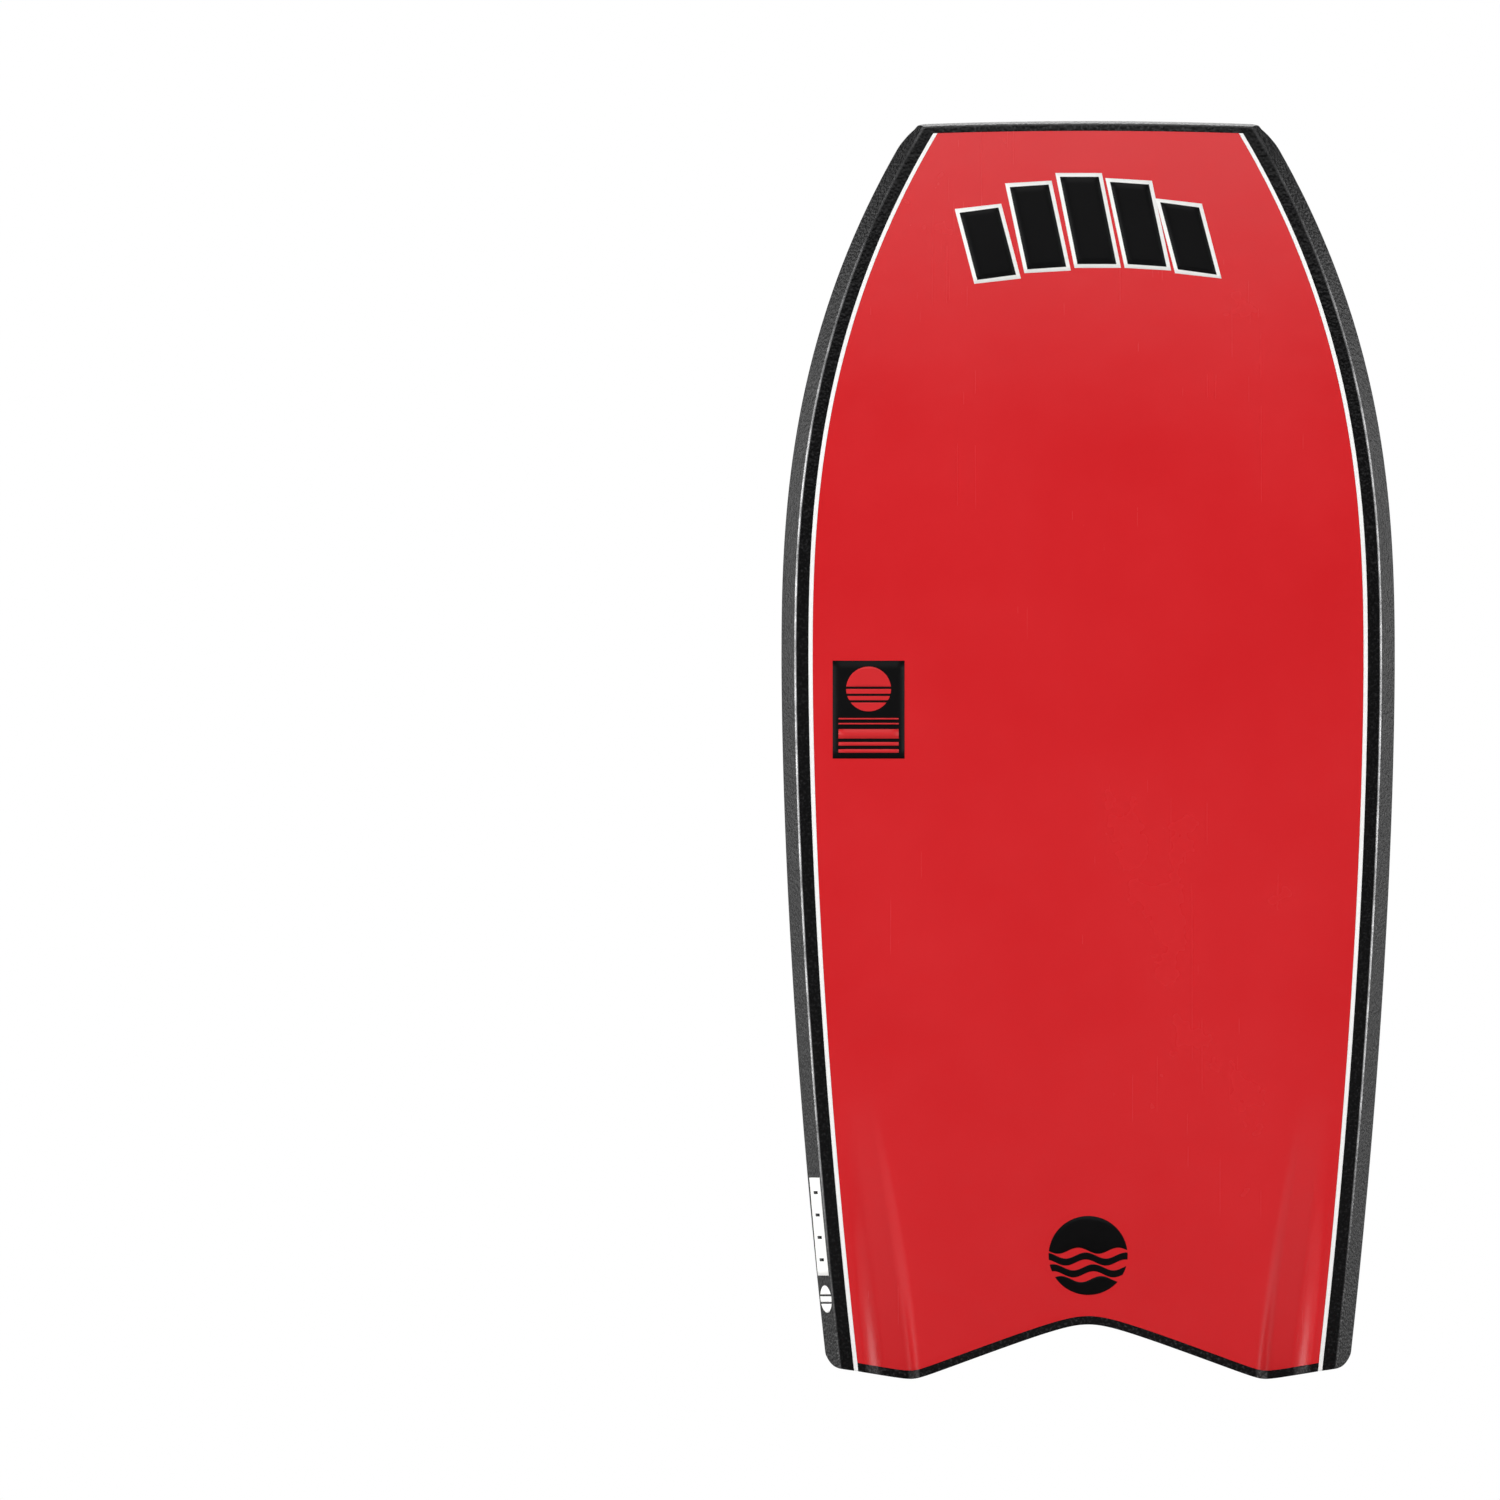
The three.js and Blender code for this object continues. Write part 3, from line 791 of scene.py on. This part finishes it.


# Painted edge highlight: a lighter colour where the surface turns between facing sideways and facing
# forward or back, where the side light catches the rounded edges.
def paintedHighlightGroup():
    w = highlightRange
    tree, given, result = newGroup("paintedEdgeHighlight", {"Amount": 1.0, "Specks": 40.0, "Ends": 0.0}, ["Mask"])
    normal = addNode(tree, "NewGeometry").outputs["Normal"]
    turn = maths(tree, "ABSOLUTE", addNode(tree, "SeparateXYZ", {0: normal}).outputs["Y"])
    rise = spread(tree, turn, 0.0, 1.0, w["riseFrom"], w["riseTo"])
    fall = spread(tree, turn, 1.0, 0.0, w["fallFrom"], w["fallTo"])
    place = objectPlace(tree)
    patchy = spread(tree, noise(tree, place, given["Specks"], 5.0), 0.35, 1.0, 0.35, 0.65)
    both = maths(tree, "MULTIPLY", maths(tree, "MULTIPLY", rise, fall), patchy)
    height = maths(tree, "ABSOLUTE", addNode(tree, "SeparateXYZ", {0: place}).outputs["Z"])
    middle = ramp(tree, height, w["fadeFrom"], w["fadeTo"], 1.0, given["Ends"])
    both = maths(tree, "MULTIPLY", both, middle)
    tree.links.new(maths(tree, "MULTIPLY", both, given["Amount"]), result["Mask"])
    return tree


pebbled, handled, edgeHighlighting = pebbleGroup(), handlingGroup(), paintedHighlightGroup()


def useGroup(tree, group, **values):
    made = tree.nodes.new("ShaderNodeGroup")
    made.node_tree = group
    for key, value in values.items():
        made.inputs[key].default_value = value
    return made.outputs


# Starts a finish: a material with its main shader. Fixed values sit on the shader itself, under
# their sockets' names with _ for a space.
def startFinish(name, **values):
    material = bpy.data.materials.new(name)
    material.use_nodes = True
    tree = material.node_tree
    tree.nodes.clear()
    shader = addNode(tree, "BsdfPrincipled", {key.replace("_", " "): v for key, v in values.items()})
    addNode(tree, "OutputMaterial", {"Surface": shader.outputs[0]})
    return material, tree, shader.inputs


def blendColours(tree, mask, low, high):
    ramp = addNode(tree, "ValToRGB", {0: mask})
    ramp.color_ramp.elements[0].color = (*low, 1)
    ramp.color_ramp.elements[1].color = (*high, 1)
    return ramp.outputs[0]


def setBump(tree, inputs, height, millimetres):
    bump = addNode(tree, "Bump", {"Height": height, "Distance": millimetres / 1000, "Strength": 1.0})
    tree.links.new(bump.outputs[0], inputs["Normal"])


# Foam skin between two shades. bump is in millimetres, edge is the strength of the painted highlight
# on the rounded edges, ends its share at the two ends of the board, and speck the colour of the
# lighter specks, which are painted glints.
def foamFinish(name, low, high, cells, grain, bump, roughness, specular, edge=0.0, ends=1.0,
               highlightColour=(0.07, 0.07, 0.072), glintSpeck=None):
    material, tree, inputs = startFinish(name, Specular_IOR_Level=specular)
    skin = useGroup(tree, pebbled, Cells=cells, Grain=grain)
    colour = blendColours(tree, skin["Shade"], low, high)
    rough = spread(tree, skin["Shade"], *roughness)
    # Painted glints: lighter specks are mixed into the colour, for the sparkle of the pebbled skin in
    # the light.
    if glintSpeck:
        bright = spread(tree, skin["Speck"], 0.0, 1.0, 0.45, 0.75)
        colour = addNode(tree, "MixRGB", {0: bright, 1: colour, 2: (*glintSpeck, 1)}).outputs[0]
    # Painted highlight: the edge colour is mixed in where the rounded edges catch the side light, and
    # the edges are glossier there.
    if edge:
        highlightMask = useGroup(tree, edgeHighlighting, Amount=edge, Ends=ends)["Mask"]
        paintedHighlight = blendColours(tree, skin["Shade"], [0.6 * c for c in highlightColour], highlightColour)
        colour = addNode(tree, "MixRGB", {0: highlightMask, 1: colour, 2: paintedHighlight}).outputs[0]
        rough = maths(tree, "SUBTRACT", rough, maths(tree, "MULTIPLY", highlightMask, 0.12))
    tree.links.new(colour, inputs["Base Color"])
    tree.links.new(rough, inputs["Roughness"])
    setBump(tree, inputs, skin["Height"], bump)
    return material


# The edge strips take the full painted edge highlight.
stripSkin = dict(cells=400.0, grain=0.9, bump=0.5, edge=1.0)  # coarser pebbles of the edge strips
railBlack = dict(low=(0.0006, 0.0006, 0.0007), high=(0.0026, 0.0026, 0.0029))
# Chine and bumper strips: a dim grey painted highlight on their rounded edges, and lighter specks that
# paint glints.
greyHighlightedEdges = dict(roughness=(0.42, 0.3), specular=0.24, highlightColour=(0.05, 0.05, 0.051),
                  glintSpeck=(0.022, 0.022, 0.023))
deckFinish = foamFinish("deckFoam", low=(0.001, 0.001, 0.0011), high=(0.0034, 0.0034, 0.0037),
                        cells=780.0, grain=0.5, bump=0.16, roughness=(0.7, 0.55), specular=0.1)
# Rails: a near-white painted highlight along their rounded edges, full mid-length and 0.08 of it at
# the two ends.
railFinish = foamFinish("railFoam", roughness=(0.4, 0.28), specular=0.2, ends=0.08,
                        highlightColour=(0.9, 0.9, 0.91), glintSpeck=(0.009, 0.009, 0.0095),
                        **railBlack, **stripSkin)
chineFinish = foamFinish("chineFoam", **railBlack, **stripSkin, **greyHighlightedEdges)
bumperFinish = foamFinish("bumperFoam", low=(0.0007, 0.0007, 0.0008), high=(0.003, 0.003, 0.0033),
                          **stripSkin, **greyHighlightedEdges)
pinlineFinish = foamFinish("pinlineFoam", low=(0.86, 0.86, 0.85), high=(0.96, 0.96, 0.95),
                           cells=700.0, grain=0.6, bump=0.1, roughness=(0.7, 0.55), specular=0.3)


# Smooth extruded sheet: clear gloss with faint smears, hairlines and the least unevenness.
def slickSheetFinish(low=(0.61, 0.0145, 0.0185), high=(0.64, 0.016, 0.0205), roughness=(0.2, 0.29)):
    material, tree, inputs = startFinish("slickSheet", Specular_IOR_Level=0.5)
    marks = useGroup(tree, handled, Hairlines=0.15, Smears=1.0)
    tree.links.new(blendColours(tree, marks["Smear"], low, high), inputs["Base Color"])
    scratched = maths(tree, "MULTIPLY", marks["Mask"], 0.2)
    rough = maths(tree, "ADD", spread(tree, marks["Smear"], *roughness), scratched)
    tree.links.new(rough, inputs["Roughness"])
    ripple = noise(tree, objectPlace(tree), 22.0, 2.0)
    height = maths(tree, "SUBTRACT", ripple, maths(tree, "MULTIPLY", marks["Mask"], 0.04))
    setBump(tree, inputs, height, 0.35)
    return material


# Screen-printed ink: even colour, a faint screen texture and thin spots.
def printFinish(name, low, high, specular=0.35):
    material, tree, inputs = startFinish(name, Specular_IOR_Level=specular)
    marks = useGroup(tree, handled, Hairlines=0.3, Smears=1.0)
    tree.links.new(blendColours(tree, marks["Smear"], low, high), inputs["Base Color"])
    tree.links.new(spread(tree, marks["Smear"], 0.42, 0.55), inputs["Roughness"])
    skin = useGroup(tree, pebbled, Cells=1500.0, Grain=0.5)
    setBump(tree, inputs, skin["Height"], 0.02)
    return material


# Cut core foam: beads pressed together, with darker seams between them.
def coreFinish(low=(0.5, 0.48, 0.43), high=(0.86, 0.84, 0.79), cells=290.0):
    material, tree, inputs = startFinish("coreFoam", Specular_IOR_Level=0.3)
    beads = {"Vector": objectPlace(tree), "Scale": cells}
    edge = addNode(tree, "TexVoronoi", beads, feature="DISTANCE_TO_EDGE").outputs[0]
    bead = spread(tree, edge, 0.0, 1.0, 0.0, 0.12)
    tree.links.new(blendColours(tree, bead, low, high), inputs["Base Color"])
    tree.links.new(spread(tree, bead, 0.85, 0.68), inputs["Roughness"])
    setBump(tree, inputs, bead, 0.3)
    return material


# Two sets of threads that cross at right angles, one over the other.
def meshFinish(low=(0.18, 0.19, 0.2), high=(0.62, 0.64, 0.66), threads=27.76):
    material, tree, inputs = startFinish("slickMesh", Specular_IOR_Level=0.4)
    turn = {"Vector": objectPlace(tree), "Rotation": (0.0, math.radians(45), 0.0)}
    stops = {"Vector": addNode(tree, "Mapping", turn).outputs[0], "Scale": threads}
    across, upwards = [addNode(tree, "TexWave", stops, bands_direction=axis).outputs["Fac"]
                       for axis in ("X", "Z")]
    thread = maths(tree, "MAXIMUM", across, upwards)
    tree.links.new(blendColours(tree, thread, low, high), inputs["Base Color"])
    tree.links.new(spread(tree, thread, 0.7, 0.45), inputs["Roughness"])
    setBump(tree, inputs, thread, 0.25)
    return material


# Drawn composite tube: fine fibres along its length under a thin resin skin.
def tubeFinish(low=(0.012, 0.012, 0.014), high=(0.05, 0.052, 0.058)):
    material, tree, inputs = startFinish("stringerTube", Specular_IOR_Level=0.5, Coat_Roughness=0.2)
    stretched = {"Vector": objectPlace(tree), "Scale": (900.0, 900.0, 14.0)}
    fibre = noise(tree, addNode(tree, "Mapping", stretched).outputs[0], 1.0, 3.0)
    shade = spread(tree, fibre, 0.0, 1.0, 0.35, 0.65)
    tree.links.new(blendColours(tree, shade, low, high), inputs["Base Color"])
    tree.links.new(spread(tree, fibre, 0.3, 0.5), inputs["Roughness"])
    setBump(tree, inputs, fibre, 0.05)
    return material


# Moulded plastic: spark-eroded grain with slight flow marks.
def mouldedFinish(low=(0.03, 0.033, 0.036), high=(0.05, 0.053, 0.057)):
    material, tree, inputs = startFinish("mouldedCap", Specular_IOR_Level=0.45)
    skin = useGroup(tree, pebbled, Cells=2600.0, Grain=0.8)
    tree.links.new(blendColours(tree, skin["Shade"], low, high), inputs["Base Color"])
    tree.links.new(spread(tree, skin["Shade"], 0.42, 0.56), inputs["Roughness"])
    setBump(tree, inputs, skin["Height"], 0.04)
    return material


slickFinish, coreMaterial, meshMaterial = slickSheetFinish(), coreFinish(), meshFinish()
tubeMaterial, capMaterial = tubeFinish(), mouldedFinish()
whiteInk = printFinish("whiteInk", (0.8, 0.8, 0.78), (0.9, 0.9, 0.88))
blackInk = printFinish("blackInk", (0.0012, 0.0012, 0.0013), (0.0036, 0.0036, 0.004), specular=0.12)
redInk = printFinish("redInk", (0.56, 0.014, 0.018), (0.63, 0.018, 0.022))

print("pieces on the frame")
foamPieces = [
    (foamCore, "foam_core", coreMaterial), (deckSkin, "deck_skin", deckFinish),
    (slickSheet, "slick_sheet", slickFinish), (slickMesh, "slick_mesh", meshMaterial),
    (tailBumper, "tail_bumper", bumperFinish), (noseBumper, "nose_bumper", bumperFinish),
    (tailPinline, "tail_pinline", pinlineFinish),
    (pinlineLeft, "pinline_left", pinlineFinish), (pinlineRight, "pinline_right", pinlineFinish),
    (lowerLeft, "lower_rail_left", railFinish), (lowerRight, "lower_rail_right", railFinish),
    (upperLeft, "upper_rail_left", chineFinish), (upperRight, "upper_rail_right", chineFinish),
]
inkPieces = [
    (noseMark, "print_white", whiteInk), (deckTailMark, "print_white", whiteInk),
    (slickTailMark, "print_black", blackInk), (noseKeyline, "print_white", whiteInk),
    (noseBarPrint, "print_black", blackInk), (labelPanel, "print_black", blackInk),
    (labelPrint, "print_red", redInk), (railLabel, "print_white", whiteInk),
    (railTicks, "print_black", blackInk),
]
innerNodes = dict(stringer_tube=tubeMaterial, stringer_cap_front=capMaterial,
                  stringer_cap_rear=capMaterial, bore_plug=coreMaterial)
cornerBlocks = dict(fromX=170, upTo=60)
sharpFrom = 28  # degrees between two faces that stay crisp


# The core's corners at the tail are black blocks, so that no white foam shows beside the rails.
def blackEnds(piece):
    piece.data.materials.append(chineFinish)
    centres = np.empty(len(piece.data.polygons) * 3, dtype=np.float32)
    piece.data.polygons.foreach_get("center", centres)
    centres = centres.reshape(-1, 3) * 1000
    corner = np.abs(centres[:, 0]) > cornerBlocks["fromX"]
    corner &= centres[:, 2] + outlineSizes["length"] / 2 < cornerBlocks["upTo"]
    piece.data.polygons.foreach_set("material_index", corner.astype(np.int32))


for piece, node, finish in foamPieces:
    mesh = piece.data
    mesh.materials.clear()
    mesh.materials.append(finish)
    mesh.polygons.foreach_set("material_index", np.zeros(len(mesh.polygons), dtype=np.int32))
    if piece is foamCore:
        blackEnds(piece)
    mesh.shade_smooth()
    mesh.set_sharp_from_angle(angle=math.radians(sharpFrom))
    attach(piece, "root")
    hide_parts(node)
for piece, slot, finish in inkPieces:
    piece.data.materials.append(finish)
    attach(piece, "root")
for node, finish in innerNodes.items():
    bpy.data.objects[node].material_slots[0].material = finish

print("studio")
scene = bpy.context.scene
scene.view_settings.view_transform = "Standard"
lo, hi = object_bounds()
floorSizes = dict(radius=6, steps=64, glow=0.12, dim=0.3)
ring = np.linspace(0, 2 * math.pi, floorSizes["steps"], endpoint=False)
rim = np.stack([np.cos(ring), np.sin(ring), 0 * ring], axis=1) * floorSizes["radius"] + [0, 0, lo.z]
floorMesh = bpy.data.meshes.new("floor")
floorMesh.from_pydata(rim.tolist(), [], [list(range(len(rim)))])
floor = bpy.data.objects.new("floor", floorMesh)
scene.collection.objects.link(floor)
# The floor is pale to the camera and dimmer in reflections, which keeps the black foam dark.
floorFinish = bpy.data.materials.new("paleFloor")
floorFinish.use_nodes = True
tree = floorFinish.node_tree
tree.nodes.clear()
cloudy = noise(tree, objectPlace(tree), 1.4, 3.0)
pale = blendColours(tree, cloudy, (0.9, 0.9, 0.9), (0.94, 0.94, 0.94))
lit = addNode(tree, "BsdfDiffuse", {"Color": pale}).outputs[0]
glow = addNode(tree, "Emission", {"Strength": floorSizes["glow"]}).outputs[0]
bright = addNode(tree, "AddShader", {0: lit, 1: glow}).outputs[0]
dim = addNode(tree, "BsdfDiffuse", {"Color": (*[floorSizes["dim"]] * 3, 1)}).outputs[0]
isCamera = addNode(tree, "LightPath").outputs["Is Camera Ray"]
shown = addNode(tree, "MixShader", {0: isCamera, 1: dim, 2: bright}).outputs[0]
addNode(tree, "OutputMaterial", {0: shown})
floorMesh.materials.append(floorFinish)

# White to the camera. The light comes from a band at each side on the deck's half, from overhead,
# more on the deck's half, and is brightest straight from the two sides, where it catches the edges.
# Limits are parts of a direction's unit length across (X), forward or back (Y) and upwards (Z).
skyValues = dict(sides=2.1, sidesFar=0.4, above=1.8, aboveBehind=2.4, edges=7.0)
world = bpy.data.worlds.new("studio")
scene.world = world
world.use_nodes = True
tree = world.node_tree
tree.nodes.clear()
heading = addNode(tree, "SeparateXYZ", {0: addNode(tree, "TexCoord").outputs["Generated"]}).outputs
sideways = maths(tree, "ABSOLUTE", heading["X"])
upright = maths(tree, "ABSOLUTE", heading["Z"])
near = ramp(tree, sideways, 0.54, 0.68, 0.0, skyValues["sides"])
band = maths(tree, "MULTIPLY", near, ramp(tree, sideways, 0.72, 0.84, 1.0, skyValues["sidesFar"]))
band = maths(tree, "MULTIPLY", band, ramp(tree, heading["Y"], -0.35, 0.0, 1.0, 0.0))
sides = maths(tree, "MULTIPLY", band, ramp(tree, upright, 0.2, 0.5, 1.0, 0.0))
high = ramp(tree, heading["Z"], 0.16, 0.55, 0.0, skyValues["above"])
above = maths(tree, "MULTIPLY", high, ramp(tree, sideways, 0.2, 0.5, 1.0, 0.0))
behind = ramp(tree, heading["Y"], -0.4, 0.0, skyValues["aboveBehind"], 1.0)
above = maths(tree, "MULTIPLY", above, behind)
edges = ramp(tree, sideways, 0.87, 0.97, 0.0, skyValues["edges"])
light = maths(tree, "ADD", maths(tree, "ADD", sides, above), edges)
lit = addNode(tree, "Background", {"Color": (1, 1, 1, 1), "Strength": light}).outputs[0]
seen = addNode(tree, "Background", {"Color": (1, 1, 1, 1), "Strength": 1.0}).outputs[0]
isCamera = addNode(tree, "LightPath").outputs["Is Camera Ray"]
mixed = addNode(tree, "MixShader", {0: isCamera, 1: lit, 2: seen}).outputs[0]
addNode(tree, "OutputWorld", {"Surface": mixed})


# A square soft box of a power in watts, turned to face the board's middle. It isn't mirrored.
def softBox(name, place, power, size=1.6):
    light = bpy.data.lights.new(name, "AREA")
    light.shape = "SQUARE"
    light.size = size
    light.energy = power
    lamp = bpy.data.objects.new(name, light)
    scene.collection.objects.link(lamp)
    lamp.location = place
    x, y, z = place
    lamp.rotation_euler = (math.atan2(math.hypot(x, y), z), 0, math.atan2(y, x) + math.pi / 2)
    lamp.visible_camera = False
    lamp.visible_glossy = False


softBox("slickKey", (2.2, 2.2, 0.1), 48)
softBox("slickFill", (-2.4, 2.2, -0.15), 37)
softBox("deckKey", (-2.2, -2.2, 0.1), 48)
softBox("deckFill", (2.4, -2.2, -0.15), 37)

# Straight at the slick, with the board to the right of the view's middle, in metres.
cameraValues = dict(scale=1.271, offset=0.2865, away=4)
camData = bpy.data.cameras.new("camera")
camData.type = "ORTHO"
camData.ortho_scale = cameraValues["scale"]
camera = bpy.data.objects.new("camera", camData)
scene.collection.objects.link(camera)
camera.location = (cameraValues["offset"], cameraValues["away"], (lo.z + hi.z) / 2)
camera.rotation_euler = (math.radians(90), 0, math.radians(180))
scene.camera = camera

print("done")
